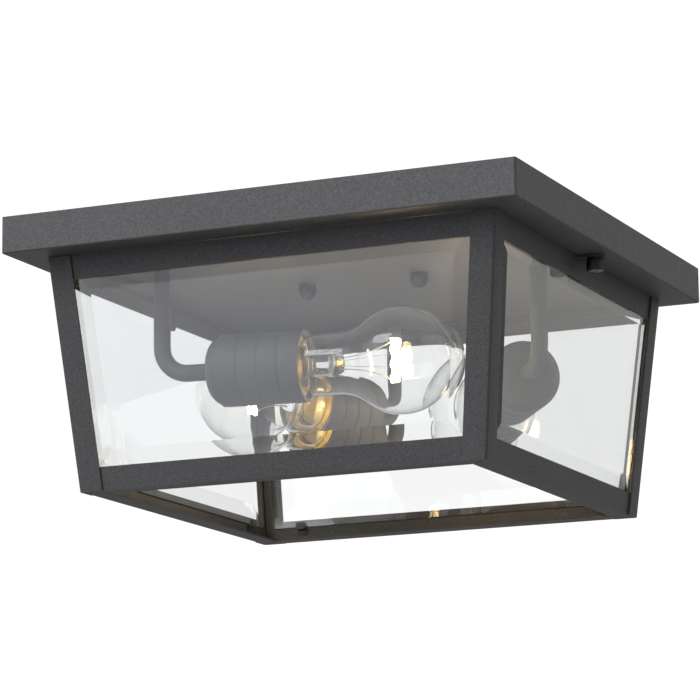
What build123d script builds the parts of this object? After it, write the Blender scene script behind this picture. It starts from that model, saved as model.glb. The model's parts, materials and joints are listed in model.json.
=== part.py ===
from build123d import *
import os
from math import cos, radians, sin, sqrt

os.makedirs("parts", exist_ok=True)

# Square flush lantern for a porch ceiling. The origin is the middle of the ceiling plane, Z points up,
# and the front of the lantern faces -Y. All sizes are in millimetres.

# Clearances
fit = 0.05          # pieces that seat on each other
run = 0.3           # pieces that move past each other
slack = 0.15        # loose fit of the socket insulator

# Ceiling pan
pan_side = 305.0
pan_height = 21.0
pan_sheet = 1.0
pan_fold = 0.3      # inside radius of the upright corners
pan_edge = 1.0      # outside radius of the bottom edges

# Lantern cage
cage_gap = 0.3      # between pan and cage
cage_inset = 18.7   # from the pan's edge to the top of the cage
cage_draw = 13.4    # how much each side comes in from top to bottom
cage_height = 131.0
post_leg = 14.1
post_sheet = 1.2
post_bend = 1.5     # outside radius of the fold
rail_height = 13.2
rail_sheet = 1.0
lip_reach = 12.6    # from the outside of the cage to the inner edge of the bottom lip

# Bevelled panes and their clips
glass_thick = 4.0
bevel_width = 14.0
bevel_depth = 1.7
glass_overlap = 5.0     # behind the posts and the bottom rails
top_overlap = 8.0       # behind the top rails
clip_sheet = 0.8
clip_width = 6.0
clip_foot = 3.0
clip_grip = 3.0
clip_inset = 18.0

# Hanger tabs and thumb nuts
hanger_sheet = 1.2
hanger_width = 22.0
hanger_drop = 4.0       # below the lower edge of the top rail
flange_width = 11.0
flange_margin = 5.2     # flange beyond the stud
hanger_round = 4.0
thumb_inset = 11.5      # from the pan's edge to the stud
thumb_stud_radius = 2.0
thumb_head_radius = 4.0
thumb_head_height = 1.2
thumb_grip = 5.0        # length of stud inside the nut
washer_radius = 4.5
washer_thick = 0.8
nut_radius = 5.0
nut_height = 6.7
knurl_count = 30
knurl_radius = 0.3
nut_chamfer = 0.6

# Mounting bracket and its studs
bracket_length = 112.0
bracket_width = 20.0
bracket_sheet = 2.0
bracket_corner = 3.0
slot_spacing = 88.9
slot_length = 9.0
slot_width = 4.4
stud_spacing = 70.0
stud_radius = 2.08
lock_nut_flats = 8.6
lock_nut_height = 3.2
cap_radius = 5.15
cap_side = 5.4
cap_height = 9.2
cap_rise = 0.9          # how far the end of the cap nut bows out
cap_bore = 6.0
ground_offset = 18.0
ground_radius = 2.0
ground_head_radius = 4.0
ground_head_height = 2.2
ground_slot = 1.0

# Lamp arms
lamp_hang = 64.2        # from the underside of the pan to the lamp axis
arm_radius = 4.75
arm_wall = 1.0
arm_bend = 15.0
arm_thread_cut = 0.35   # the threaded ends are turned down by this much
arm_stub = 0.7          # thread beyond each lock nut
arm_nut_flats = 14.0
arm_nut_height = 3.0

# Where the arms stand, from the glass of their side to the tube and along that side from the middle
front_arm_gap = 26.2
front_arm_offset = -82.6
right_arm_gap = 4.5
right_tip_gap = 4.9     # from the right lamp's bulb to the back glass, which places its arm along the side
back_arm_gap = 4.5
back_arm_offset = 30.0

# Which way each lamp points, in degrees from +X
headings = {"front": 8.5, "right": 124.5, "back": 255.5}

# Sockets, measured along the lamp axis from the upright of the arm
socket_back = 28.1
socket_length = 55.7
cup_radius = 20.2
cup_wall = 1.9
cup_flat = 8.5          # radius of the flat back
cup_dome = 5.0          # depth of the domed back
cup_dome_rise = 1.5
cup_shoulder = 7.0      # from the back to the small step
cup_step = 1.9
cup_step_run = 0.5
groove_places = (20.4, 32.3, 44.1)
groove_width = 1.0
groove_depth = 0.4
shell_radius = 13.5     # inside of the screw shell
shell_sheet = 0.5
shell_flare = 3.6       # how far the rim of the shell opens
shell_flare_length = 4.5
shell_floor_radius = 9.0
rim_set_back = 0.6      # face of the insulator behind the mouth
lead_seat = 4.0
contact_radius = 4.0
contact_height = 1.2

# Bulbs, measured along their own axis from the tip of the eyelet
bulb_length = 110.0
bulb_radius = 30.07
bulb_seat = 26.1        # depth of the bulb's end inside the mouth
bulb_wall = 0.8
neck_radius = 17.0
shoulder_radius = 8.0
flare_radius = 28.0
seal_length = 4.0
base_length = 23.5
base_wall = 0.4
base_floor = 2.3
base_floor_radius = 8.5
thread_start = 5.3
thread_pitch = 3.629
thread_turns = 4
thread_root = 12.5
thread_crest = 13.2
eyelet_radius = 4.8
eyelet_dome = 1.4
eyelet_head = 2.0
eyelet_shank_radius = 3.0
eyelet_shank = 4.0
stem_flare = 1.2
stem_flare_length = 7.0
stem_radius = 6.5
stem_wall = 0.8
stem_length = 24.0      # from the end of the base to the tip of the stem
stem_press_radius = 4.0
stem_press_length = 5.0
wire_radius = 0.4
wire_spread = 3.0
wire_straight = 14.0
wire_opening = 1.5
wire_bend = 1.2
filament_half = 12.0
filament_set_back = 3.6  # from the middle of the bulge back to the filament

# Wiring
lead_radius = 2.2
lead_bend = 8.0
lead_floor_radius = 24.0  # of the bends on the pan floor
block_offset = 45.0     # from the middle towards the front
block_length = 36.0
block_width = 16.0
block_height = 17.0
block_edge = 1.0
entry_depth = 4.0
supply_spacing = 16.0
screw_radius = 1.8
screw_depth = 2.0
screw_inset = 4.0

# Values that follow from the sizes above
pan_floor = -pan_height + pan_sheet
cage_top = -pan_height - cage_gap
cage_bottom = cage_top - cage_height
cage_top_half = pan_side / 2 - cage_inset
cage_bottom_half = cage_top_half - cage_draw
taper = cage_draw / cage_height
lean = sqrt(1 + taper**2)
rail_outer = post_sheet + fit
rail_inner = rail_outer + rail_sheet
rail_set_back = post_bend - post_sheet + fit
glass_front = rail_inner + fit - bevel_depth * (1 - top_overlap / bevel_width)
glass_back = glass_front + glass_thick
top_margin = rail_height - top_overlap
bottom_margin = rail_height - glass_overlap
post_margin = post_leg - glass_overlap
pane_top = cage_top - top_margin + taper * glass_back / lean
pane_bottom = cage_bottom + bottom_margin + taper * glass_back / lean
thumb_x = pan_side / 2 - thumb_inset
flange_low = cage_top - hanger_sheet
washer_top = flange_low - fit
nut_top = washer_top - washer_thick - fit
stud_tip = nut_top - thumb_grip
lamp_z = -pan_height - lamp_hang
arm_bore = arm_radius - arm_wall
arm_thread = arm_radius - arm_thread_cut
arm_top = pan_floor + arm_nut_height + arm_stub
mouth = socket_back + socket_length
eyelet = mouth - bulb_seat
insulator_back = socket_back + cup_shoulder + cup_step_run + cup_wall + slack
insulator_radius = cup_radius - cup_wall - slack
insulator_face = mouth - rim_set_back
contact_face = eyelet - run
socket_floor = contact_face - contact_height - fit
base_end = eyelet + base_length
bulge = eyelet + bulb_length - bulb_radius
seal_radius = thread_root - base_wall - fit
lead_z = arm_top + lead_bend

sides = {"front": -90, "right": 0, "back": 90, "left": 180}
stud_row = (-stud_spacing / 2, stud_spacing / 2)
thumb_row = {"left": -thumb_x, "right": thumb_x}


def save(piece, name):
    piece.part.label = name
    export_step(piece.part, f"parts/{name}.step")


# Half width of a cage face at height z, measured on a plane set inwards from the outside by depth
def wall(z, depth):
    return cage_top_half - taper * (cage_top - z) - depth * lean


# Upright plane square to a side: local x points outwards, local y points up, along is the place on that side
def section_plane(side, along=0.0):
    turn = radians(sides[side])
    origin = (-sin(turn) * along, cos(turn) * along, 0)
    return Plane(origin, x_dir=(cos(turn), sin(turn), 0), z_dir=(sin(turn), -cos(turn), 0))


# Plane of a cage face: the origin is the middle of its top edge, local y runs up the slope
def face_plane(side):
    turn = radians(sides[side])
    origin = (cage_top_half * cos(turn), cage_top_half * sin(turn), cage_top)
    return Plane(origin, x_dir=(-sin(turn), cos(turn), 0), z_dir=(cos(turn), sin(turn), -taper))


def lamp_heading(lamp):
    turn = radians(headings[lamp])
    return Vector(cos(turn), sin(turn), 0)


# Place of an arm in plan: out from the middle towards its side, and along that side
def arm_spot(lamp):
    gap, along = arm_places[lamp]
    turn = radians(sides[lamp])
    out = wall(lamp_z + arm_bend, glass_back) - gap - arm_radius
    return out * cos(turn) - along * sin(turn), out * sin(turn) + along * cos(turn)


# Upright plane through a lamp: local x runs along the lamp from the arm, local y points up
def lamp_plane(lamp):
    x, y = arm_spot(lamp)
    d = lamp_heading(lamp)
    return Plane((x, y, lamp_z), x_dir=d, z_dir=(d.Y, -d.X, 0))


def lamp_axis(lamp):
    x, y = arm_spot(lamp)
    return Axis((x, y, lamp_z), lamp_heading(lamp))


def lamp_point(lamp, along):
    x, y = arm_spot(lamp)
    return Vector(x, y, lamp_z) + lamp_heading(lamp) * along


# Arc between two points, about a centre, the short way round
def arc_about(centre, start, end):
    centre, start, end = Vector(centre), Vector(start), Vector(end)
    middle = ((start - centre).normalized() + (end - centre).normalized()).normalized()
    return ThreePointArc(start, centre + middle * (start - centre).length, end)


# Arc that stands up from its chord by rise, on the left of the way from start to end
def bowed_arc(start, end, rise):
    start, end = Vector(start), Vector(end)
    chord = (end - start).normalized()
    return ThreePointArc(start, (start + end) * 0.5 + Vector(-chord.Y, chord.X) * rise, end)


right_bulb_reach = lamp_heading("right").Y * bulge + bulb_radius
right_arm_offset = wall(lamp_z, glass_back) - right_tip_gap - right_bulb_reach
arm_places = {
    "front": (front_arm_gap, front_arm_offset),
    "right": (right_arm_gap, right_arm_offset),
    "back": (back_arm_gap, back_arm_offset),
}
arm_spots = [arm_spot(lamp) for lamp in headings]

# Ceiling pan, open towards the ceiling
with BuildPart() as ceiling_pan:
    with BuildSketch():
        RectangleRounded(pan_side, pan_side, pan_fold + pan_sheet)
    extrude(amount=-pan_height)
    fillet(ceiling_pan.faces().sort_by(Axis.Z)[0].edges(), pan_edge)
    with BuildSketch():
        RectangleRounded(pan_side - 2 * pan_sheet, pan_side - 2 * pan_sheet, pan_fold)
    extrude(amount=pan_floor, mode=Mode.SUBTRACT)
    with BuildSketch(Plane.XY.offset(pan_floor)):
        with Locations(*[(x, 0) for x in stud_row]):
            Circle(stud_radius + fit)
        with Locations(*[(x, 0) for x in thumb_row.values()]):
            Circle(thumb_stud_radius + fit)
        with Locations(*arm_spots):
            Circle(arm_thread + fit)
    extrude(amount=-pan_sheet, mode=Mode.SUBTRACT)
save(ceiling_pan, "ceiling_pan")

# Bracket that is screwed to the ceiling box through its two slots
with BuildPart() as mounting_bracket:
    with BuildSketch():
        RectangleRounded(bracket_length, bracket_width, bracket_corner)
        with Locations((-slot_spacing / 2, 0), (slot_spacing / 2, 0)):
            SlotOverall(slot_length, slot_width, mode=Mode.SUBTRACT)
        with Locations(*[(x, 0) for x in stud_row]):
            Circle(stud_radius + fit, mode=Mode.SUBTRACT)
        with Locations((-ground_offset, 0)):
            Circle(ground_radius + fit, mode=Mode.SUBTRACT)
    extrude(amount=-bracket_sheet)
save(mounting_bracket, "mounting_bracket")

with BuildPart() as bracket_studs:
    with BuildSketch():
        with Locations(*[(x, 0) for x in stud_row]):
            Circle(stud_radius)
    extrude(amount=-pan_height - cap_bore + run)
save(bracket_studs, "bracket_studs")

with BuildPart() as bracket_lock_nuts:
    with BuildSketch(Plane.XY.offset(-bracket_sheet)):
        with Locations(*[(x, 0) for x in stud_row]):
            RegularPolygon(lock_nut_flats / 2, 6, major_radius=False)
            Circle(stud_radius + fit, mode=Mode.SUBTRACT)
    extrude(amount=-lock_nut_height)
save(bracket_lock_nuts, "bracket_lock_nuts")

# Blind nuts with a domed end that pull the pan up to the ceiling
with BuildPart() as cap_nuts:
    for x in stud_row:
        with BuildSketch(Plane((x, 0, -pan_height), x_dir=(1, 0, 0), z_dir=(0, -1, 0))):
            with BuildLine():
                bore = stud_radius + fit
                Polyline((bore, 0), (bore, -cap_bore), (0, -cap_bore), (0, -cap_height))
                bowed_arc((0, -cap_height), (cap_radius, -cap_side), -cap_rise)
                Polyline((cap_radius, -cap_side), (cap_radius, 0), (bore, 0))
            make_face()
        revolve(axis=Axis((x, 0, 0), (0, 0, 1)))
save(cap_nuts, "cap_nuts")

with BuildPart() as ground_screw:
    with BuildSketch():
        with Locations((-ground_offset, 0)):
            Circle(ground_radius)
    extrude(amount=-bracket_sheet)
    with BuildSketch(Plane.XY.offset(-bracket_sheet)):
        with Locations((-ground_offset, 0)):
            Circle(ground_head_radius)
    extrude(amount=-ground_head_height)
    with BuildSketch(Plane.XY.offset(-bracket_sheet - ground_head_height)):
        with Locations((-ground_offset, 0)):
            Rectangle(2 * ground_head_radius, ground_slot)
    extrude(amount=ground_head_height / 2, mode=Mode.SUBTRACT)
save(ground_screw, "ground_screw")

# Studs for the thumb nuts, with their heads on the pan floor
with BuildPart() as thumb_studs:
    with BuildSketch(Plane.XY.offset(pan_floor)):
        with Locations(*[(x, 0) for x in thumb_row.values()]):
            Circle(thumb_head_radius)
    extrude(amount=thumb_head_height)
    with BuildSketch(Plane.XY.offset(pan_floor)):
        with Locations(*[(x, 0) for x in thumb_row.values()]):
            Circle(thumb_stud_radius)
    extrude(amount=stud_tip - pan_floor)
save(thumb_studs, "thumb_studs")

for side, x in thumb_row.items():
    with BuildPart() as washer:
        with BuildSketch(Plane.XY.offset(washer_top)):
            with Locations((x, 0)):
                Circle(washer_radius)
                Circle(thumb_stud_radius + run, mode=Mode.SUBTRACT)
        extrude(amount=-washer_thick)
    save(washer, f"thumb_washer_{side}")

    with BuildPart() as thumb_nut:
        with BuildSketch(Plane.XY.offset(nut_top)):
            with Locations((x, 0)):
                Circle(nut_radius)
        extrude(amount=-nut_height)
        chamfer(thumb_nut.edges().filter_by(GeomType.CIRCLE), nut_chamfer)
        with BuildSketch(Plane.XY.offset(nut_top)):
            with Locations((x, 0)):
                with PolarLocations(nut_radius, knurl_count):
                    Circle(knurl_radius)
        extrude(amount=-nut_height, mode=Mode.SUBTRACT)
        with BuildSketch(Plane.XY.offset(nut_top)):
            with Locations((x, 0)):
                Circle(thumb_stud_radius + fit)
        extrude(amount=-thumb_grip - run, mode=Mode.SUBTRACT)
    save(thumb_nut, f"thumb_nut_{side}")

# Corner posts: folded angles that lean inwards on both faces
for name, along_x, along_y in (
    ("front_left", -1, -1),
    ("front_right", 1, -1),
    ("back_right", 1, 1),
    ("back_left", -1, 1),
):
    with BuildPart() as post:
        with BuildSketch(Plane.XY.offset(cage_top)) as angle:
            legs = [(0, 0), (post_leg, 0), (post_leg, post_sheet), (post_sheet, post_sheet)]
            legs += [(post_sheet, post_leg), (0, post_leg)]
            corners = [((cage_top_half - a) * along_x, (cage_top_half - b) * along_y) for a, b in legs]
            with BuildLine():
                Polyline(*corners, close=True)
            make_face()
            fillet(angle.vertices().sort_by_distance(corners[0])[0], post_bend)
            fillet(angle.vertices().sort_by_distance(corners[3])[0], post_bend - post_sheet)
        slope = Vector(-along_x * taper, -along_y * taper, -1)
        extrude(amount=cage_height * slope.length, dir=slope)
    save(post, f"corner_post_{name}")


# Limits of a rail in plan: its ends are mitred behind the posts
def mitre_outline(side):
    reach = 2 * cage_top_half
    ends = [(rail_set_back, 0), (reach, reach - rail_set_back), (reach, rail_set_back - reach)]
    return [Vector(x, y).rotate(Axis.Z, sides[side]) for x, y in ends]


for side in sides:
    with BuildPart() as top_rail:
        low = cage_top - rail_height
        with BuildSketch(section_plane(side)):
            with BuildLine():
                Polyline(
                    (wall(cage_top, rail_outer), cage_top),
                    (wall(cage_top, rail_inner), cage_top),
                    (wall(low, rail_inner), low),
                    (wall(low, rail_outer), low),
                    close=True,
                )
            make_face()
        extrude(amount=cage_top_half, both=True)
        with BuildSketch(Plane.XY.offset(cage_bottom)):
            Polygon(*mitre_outline(side), align=None)
        extrude(amount=cage_height, mode=Mode.INTERSECT)
        if side in thumb_row:
            with BuildSketch(section_plane(side)):
                with Locations((wall(cage_top, rail_outer), cage_top)):
                    Rectangle(2 * post_leg, 2 * (hanger_sheet + run))
            extrude(amount=flange_width / 2 + run, both=True, mode=Mode.SUBTRACT)
    save(top_rail, f"top_rail_{side}")

    with BuildPart() as bottom_rail:
        high = cage_bottom + rail_height
        lip_top = cage_bottom + rail_sheet
        lip_edge = cage_bottom_half - lip_reach
        with BuildSketch(section_plane(side)):
            with BuildLine():
                Polyline(
                    (wall(high, rail_outer), high),
                    (wall(cage_bottom, rail_outer), cage_bottom),
                    (lip_edge, cage_bottom),
                    (lip_edge, lip_top),
                    (wall(lip_top, rail_inner), lip_top),
                    (wall(high, rail_inner), high),
                    close=True,
                )
            make_face()
        extrude(amount=cage_top_half, both=True)
        with BuildSketch(Plane.XY.offset(cage_bottom)):
            Polygon(*mitre_outline(side), align=None)
        extrude(amount=cage_height, mode=Mode.INTERSECT)
    save(bottom_rail, f"bottom_rail_{side}")


# Corners of a pane in a cage face, with its edges brought in by inset
def pane_outline(inset):
    high = -top_margin * lean - inset
    low = -(cage_height - bottom_margin) * lean + inset
    wide = cage_top_half - post_margin - inset
    upper = wide + taper * high
    lower = wide + taper * low
    return [(-upper, high), (upper, high), (lower, low), (-lower, low)]


# Panes with a wide bevel all round the outside; the thin edges lie behind the rails and posts
for side in sides:
    with BuildPart() as pane:
        face = face_plane(side)
        bevel_back = glass_front + bevel_depth
        with BuildSketch(face.offset(-glass_back)):
            Polygon(*pane_outline(0), align=None)
        extrude(amount=glass_back - bevel_back)
        with BuildSketch(face.offset(-bevel_back)):
            Polygon(*pane_outline(0), align=None)
        with BuildSketch(face.offset(-glass_front)):
            Polygon(*pane_outline(bevel_width), align=None)
        loft(ruled=True)
    save(pane, f"glass_pane_{side}")


# Outline of a clip, from its foot on the rail over the edge of the pane; away is 1 at the top edge
def clip_outline(edge, away):
    foot = rail_inner + fit
    finger = glass_back + fit
    step = edge + away * run
    shelf = step + away * clip_sheet
    foot_end = shelf + away * clip_foot
    finger_end = edge - away * clip_grip
    return [
        (wall(foot_end, foot), foot_end),
        (wall(foot_end, foot + clip_sheet), foot_end),
        (wall(shelf, foot + clip_sheet), shelf),
        (wall(shelf, finger + clip_sheet), shelf),
        (wall(finger_end, finger + clip_sheet), finger_end),
        (wall(finger_end, finger), finger_end),
        (wall(step, finger), step),
        (wall(step, foot), step),
    ]


# Two clips at each upper and lower edge of each pane
with BuildPart() as glass_clips:
    for side in sides:
        for edge, away in ((pane_top, 1), (pane_bottom, -1)):
            end = wall(edge, 0) - post_margin - clip_inset
            for along in (-end, end):
                with BuildSketch(section_plane(side, along)):
                    Polygon(*clip_outline(edge, away), align=None)
                extrude(amount=clip_width / 2, both=True)
save(glass_clips, "glass_clips")

# Angles that carry the cage: the narrow flange lies in a notch of the rail, the plate hangs behind the pane
with BuildPart() as hanger_tabs:
    plate_front = glass_back + fit
    plate_back = plate_front + hanger_sheet
    plate_low = cage_top - rail_height - hanger_drop
    flange_end = thumb_x + flange_margin
    for side in thumb_row:
        with BuildSketch(section_plane(side)):
            with BuildLine():
                Polyline(
                    (wall(cage_top, plate_front), cage_top),
                    (wall(cage_top, plate_back), cage_top),
                    (wall(plate_low, plate_back), plate_low),
                    (wall(plate_low, plate_front), plate_low),
                    close=True,
                )
            make_face()
        extrude(amount=hanger_width / 2, both=True)
        with BuildSketch(section_plane(side)):
            with BuildLine():
                Polyline(
                    (flange_end, cage_top),
                    (wall(cage_top, plate_back), cage_top),
                    (wall(flange_low, plate_back), flange_low),
                    (flange_end, flange_low),
                    close=True,
                )
            make_face()
        extrude(amount=flange_width / 2, both=True)
    with BuildSketch(Plane.XY.offset(cage_top)):
        with Locations(*[(x, 0) for x in thumb_row.values()]):
            Circle(thumb_stud_radius + run)
    extrude(amount=-hanger_sheet, mode=Mode.SUBTRACT)
    fillet(hanger_tabs.edges().filter_by(Axis.X).group_by(Axis.Z)[0], hanger_round)
    ends = hanger_tabs.edges().filter_by(Axis.Z)
    fillet(ends.group_by(Axis.X)[0] + ends.group_by(Axis.X)[-1], hanger_round)
save(hanger_tabs, "hanger_tabs")

# Nuts that clamp the arms to the pan floor
with BuildPart() as arm_lock_nuts:
    with BuildSketch(Plane.XY.offset(pan_floor)):
        with Locations(*arm_spots):
            RegularPolygon(arm_nut_flats / 2, 6, major_radius=False)
            Circle(arm_thread + fit, mode=Mode.SUBTRACT)
    extrude(amount=arm_nut_height)
save(arm_lock_nuts, "arm_lock_nuts")

# Nuts that clamp the sockets to the arms, inside the cups
with BuildPart() as socket_lock_nuts:
    for lamp in headings:
        start = lamp_point(lamp, socket_back + cup_wall)
        with BuildSketch(Plane(start, x_dir=(0, 0, 1), z_dir=lamp_heading(lamp))):
            RegularPolygon(arm_nut_flats / 2, 6, major_radius=False)
            Circle(arm_thread + fit, mode=Mode.SUBTRACT)
        extrude(amount=arm_nut_height)
save(socket_lock_nuts, "socket_lock_nuts")

# Bent arms with a threaded stub at each end
for lamp in headings:
    stub_end = socket_back + cup_wall + arm_nut_height + arm_stub
    with BuildPart() as arm:
        with BuildLine(lamp_plane(lamp)) as bend:
            FilletPolyline((0, lamp_hang), (0, 0), (socket_back, 0), radius=arm_bend)
        with BuildSketch(Plane(bend.line @ 0, z_dir=bend.line % 0)):
            Circle(arm_radius)
            Circle(arm_bore, mode=Mode.SUBTRACT)
        sweep()
        with BuildSketch(Plane.XY.offset(-pan_height)):
            with Locations(arm_spot(lamp)):
                Circle(arm_thread)
                Circle(arm_bore, mode=Mode.SUBTRACT)
        extrude(amount=arm_top + pan_height)
        with BuildSketch(Plane(lamp_point(lamp, socket_back), z_dir=lamp_heading(lamp))):
            Circle(arm_thread)
            Circle(arm_bore, mode=Mode.SUBTRACT)
        extrude(amount=stub_end - socket_back)
    save(arm, f"lamp_arm_{lamp}")

# Socket cups: domed back, small step, three ring grooves, open mouth
for lamp in headings:
    with BuildPart() as cup:
        dome = cup_radius - cup_step
        hole = arm_thread + fit
        back = socket_back
        inside = socket_back + cup_wall
        grooves = []
        for place in groove_places:
            start, end = back + place - groove_width / 2, back + place + groove_width / 2
            grooves += [(start, cup_radius), (start, cup_radius - groove_depth)]
            grooves += [(end, cup_radius - groove_depth), (end, cup_radius)]
        with BuildSketch(lamp_plane(lamp)):
            with BuildLine():
                Line((back, hole), (back, cup_flat))
                bowed_arc((back, cup_flat), (back + cup_dome, dome), cup_dome_rise)
                Polyline(
                    (back + cup_dome, dome),
                    (back + cup_shoulder, dome),
                    (back + cup_shoulder + cup_step_run, cup_radius),
                    *grooves,
                    (mouth, cup_radius),
                    (mouth, cup_radius - cup_wall),
                    (inside + cup_shoulder + cup_step_run, cup_radius - cup_wall),
                    (inside + cup_shoulder, dome - cup_wall),
                    (back + cup_dome, dome - cup_wall),
                )
                bowed_arc((back + cup_dome, dome - cup_wall), (inside, cup_flat), -cup_dome_rise)
                Polyline((inside, cup_flat), (inside, hole), (back, hole))
            make_face()
        revolve(axis=lamp_axis(lamp))
    save(cup, f"socket_cup_{lamp}")

# Insulators: a floor behind the shell, a pale rim at the mouth
with BuildPart() as socket_insulators:
    for lamp in headings:
        bore = shell_radius + shell_sheet + fit
        lead_bore = lead_radius + fit
        lead_end = insulator_back + lead_seat
        with BuildSketch(lamp_plane(lamp)):
            with BuildLine():
                Polyline(
                    (insulator_back, lead_bore),
                    (insulator_back, insulator_radius),
                    (insulator_face, insulator_radius),
                    (insulator_face, bore + shell_flare),
                    (insulator_face - shell_flare_length, bore),
                    (socket_floor, bore),
                    (socket_floor, 0),
                    (lead_end, 0),
                    (lead_end, lead_bore),
                    close=True,
                )
            make_face()
        revolve(axis=lamp_axis(lamp))
save(socket_insulators, "socket_insulators")

# Screw shells with a flared rim
with BuildPart() as screw_shells:
    for lamp in headings:
        outer = shell_radius + shell_sheet
        floor = socket_floor + fit
        flare = insulator_face - shell_flare_length
        with BuildSketch(lamp_plane(lamp)):
            with BuildLine():
                Polyline(
                    (floor, shell_floor_radius),
                    (floor, outer),
                    (flare, outer),
                    (insulator_face, outer + shell_flare),
                    (insulator_face, shell_radius + shell_flare),
                    (flare, shell_radius),
                    (floor + shell_sheet, shell_radius),
                    (floor + shell_sheet, shell_floor_radius),
                    close=True,
                )
            make_face()
        revolve(axis=lamp_axis(lamp))
save(screw_shells, "screw_shells")

# Contacts in the middle of the socket floors
with BuildPart() as centre_contacts:
    for lamp in headings:
        with BuildSketch(Plane(lamp_point(lamp, socket_floor + fit), z_dir=lamp_heading(lamp))):
            Circle(contact_radius)
        extrude(amount=contact_height)
save(centre_contacts, "centre_contacts")

# Bulb eyelets: a rounded head with a shank into the base
for lamp in headings:
    with BuildPart() as bulb_eyelet:
        head = eyelet + eyelet_head
        with BuildSketch(lamp_plane(lamp)):
            with BuildLine():
                bowed_arc((eyelet, 0), (eyelet + eyelet_dome, eyelet_radius), eyelet_dome / 2)
                Polyline(
                    (eyelet + eyelet_dome, eyelet_radius),
                    (head, eyelet_radius),
                    (head, eyelet_shank_radius),
                    (eyelet + eyelet_shank, eyelet_shank_radius),
                    (eyelet + eyelet_shank, 0),
                    (eyelet, 0),
                )
            make_face()
        revolve(axis=lamp_axis(lamp))
    save(bulb_eyelet, f"bulb_eyelet_{lamp}")

# Bulb bases: a thin shell whose rounded thread is drawn as rings
for lamp in headings:
    with BuildPart() as bulb_base:
        floor = eyelet + base_floor
        start = eyelet + thread_start
        inner = thread_root - base_wall
        with BuildSketch(lamp_plane(lamp)):
            with BuildLine():
                Polyline(
                    (floor + base_wall, eyelet_shank_radius + run),
                    (floor, eyelet_shank_radius + run),
                    (floor, base_floor_radius),
                    (start, thread_root),
                )
                for turn in range(thread_turns):
                    low = (start + turn * thread_pitch, thread_root)
                    crest = (start + (turn + 0.5) * thread_pitch, thread_crest)
                    high = (start + (turn + 1) * thread_pitch, thread_root)
                    ThreePointArc(low, crest, high)
                Polyline(
                    (start + thread_turns * thread_pitch, thread_root),
                    (base_end, thread_root),
                    (base_end, inner),
                    (start + base_wall, inner),
                    (floor + base_wall, base_floor_radius - base_wall),
                    (floor + base_wall, eyelet_shank_radius + run),
                )
            make_face()
        revolve(axis=lamp_axis(lamp))
    save(bulb_base, f"bulb_base_{lamp}")


# Outline of the bulb's glass, set inwards by inset: seal, shoulder, neck, hollow flare, round bulge
def glass_outline(inset):
    seal = seal_radius - inset
    neck = neck_radius - inset
    shoulder = shoulder_radius - inset
    hub = neck_radius - shoulder_radius
    neck_start = base_end + sqrt(shoulder_radius**2 - (seal_radius - hub) ** 2)
    rise = neck_start - sqrt(shoulder**2 - (seal - hub) ** 2)
    apart = bulb_radius + flare_radius
    neck_end = bulge - sqrt(apart**2 - (neck_radius + flare_radius) ** 2)
    flare_centre = Vector(neck_end, neck_radius + flare_radius)
    bulge_centre = Vector(bulge, 0)
    joint = bulge_centre + (flare_centre - bulge_centre).normalized() * (bulb_radius - inset)
    Line((base_end - seal_length, seal), (rise, seal))
    arc_about((neck_start, hub), (rise, seal), (neck_start, neck))
    Line((neck_start, neck), (neck_end, neck))
    arc_about(flare_centre, (neck_end, neck), joint)
    arc_about(bulge_centre, joint, (bulge + bulb_radius - inset, 0))


for lamp in headings:
    with BuildPart() as bulb_glass:
        start = base_end - seal_length
        tip = bulge + bulb_radius
        with BuildSketch(lamp_plane(lamp)):
            with BuildLine():
                glass_outline(0)
                glass_outline(bulb_wall)
                Line((start, seal_radius), (start, seal_radius - bulb_wall))
                Line((tip, 0), (tip - bulb_wall, 0))
            make_face()
        revolve(axis=lamp_axis(lamp))
    save(bulb_glass, f"bulb_glass_{lamp}")

# Glass stems: hollow, flared where they meet the neck, pressed shut round the wires at the tip
stem_tip = base_end + stem_length
for lamp in headings:
    with BuildPart() as bulb_stem:
        start = base_end - seal_length + fit
        flare = seal_radius - bulb_wall - fit
        narrow = start + stem_flare + stem_flare_length
        press = stem_tip - stem_press_length
        with BuildSketch(lamp_plane(lamp)):
            with BuildLine():
                Polyline(
                    (start, flare - stem_wall),
                    (start, flare),
                    (start + stem_flare, flare),
                    (narrow, stem_radius),
                    (press, stem_radius),
                    (stem_tip, stem_press_radius),
                    (stem_tip, 0),
                    (press, 0),
                    (press, stem_radius - stem_wall),
                    (narrow, stem_radius - stem_wall),
                    (start + stem_flare, flare - stem_wall),
                    close=True,
                )
            make_face()
        revolve(axis=lamp_axis(lamp))
    save(bulb_stem, f"bulb_stem_{lamp}")

# Filaments: two wires from the stem that open out to the glowing wire across the bulge
for lamp in headings:
    with BuildPart() as bulb_filament:
        glow = bulge - filament_set_back
        upper = [
            (stem_tip, wire_spread),
            (stem_tip + wire_straight, wire_spread + wire_opening),
            (glow, filament_half),
        ]
        lower = [(x, -y) for x, y in reversed(upper)]
        with BuildLine(lamp_plane(lamp)) as wires:
            FilletPolyline(*upper, *lower, radius=wire_bend)
        with BuildSketch(Plane(wires.line @ 0, z_dir=wires.line % 0)):
            Circle(wire_radius)
        sweep()
    save(bulb_filament, f"bulb_filament_{lamp}")

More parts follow.
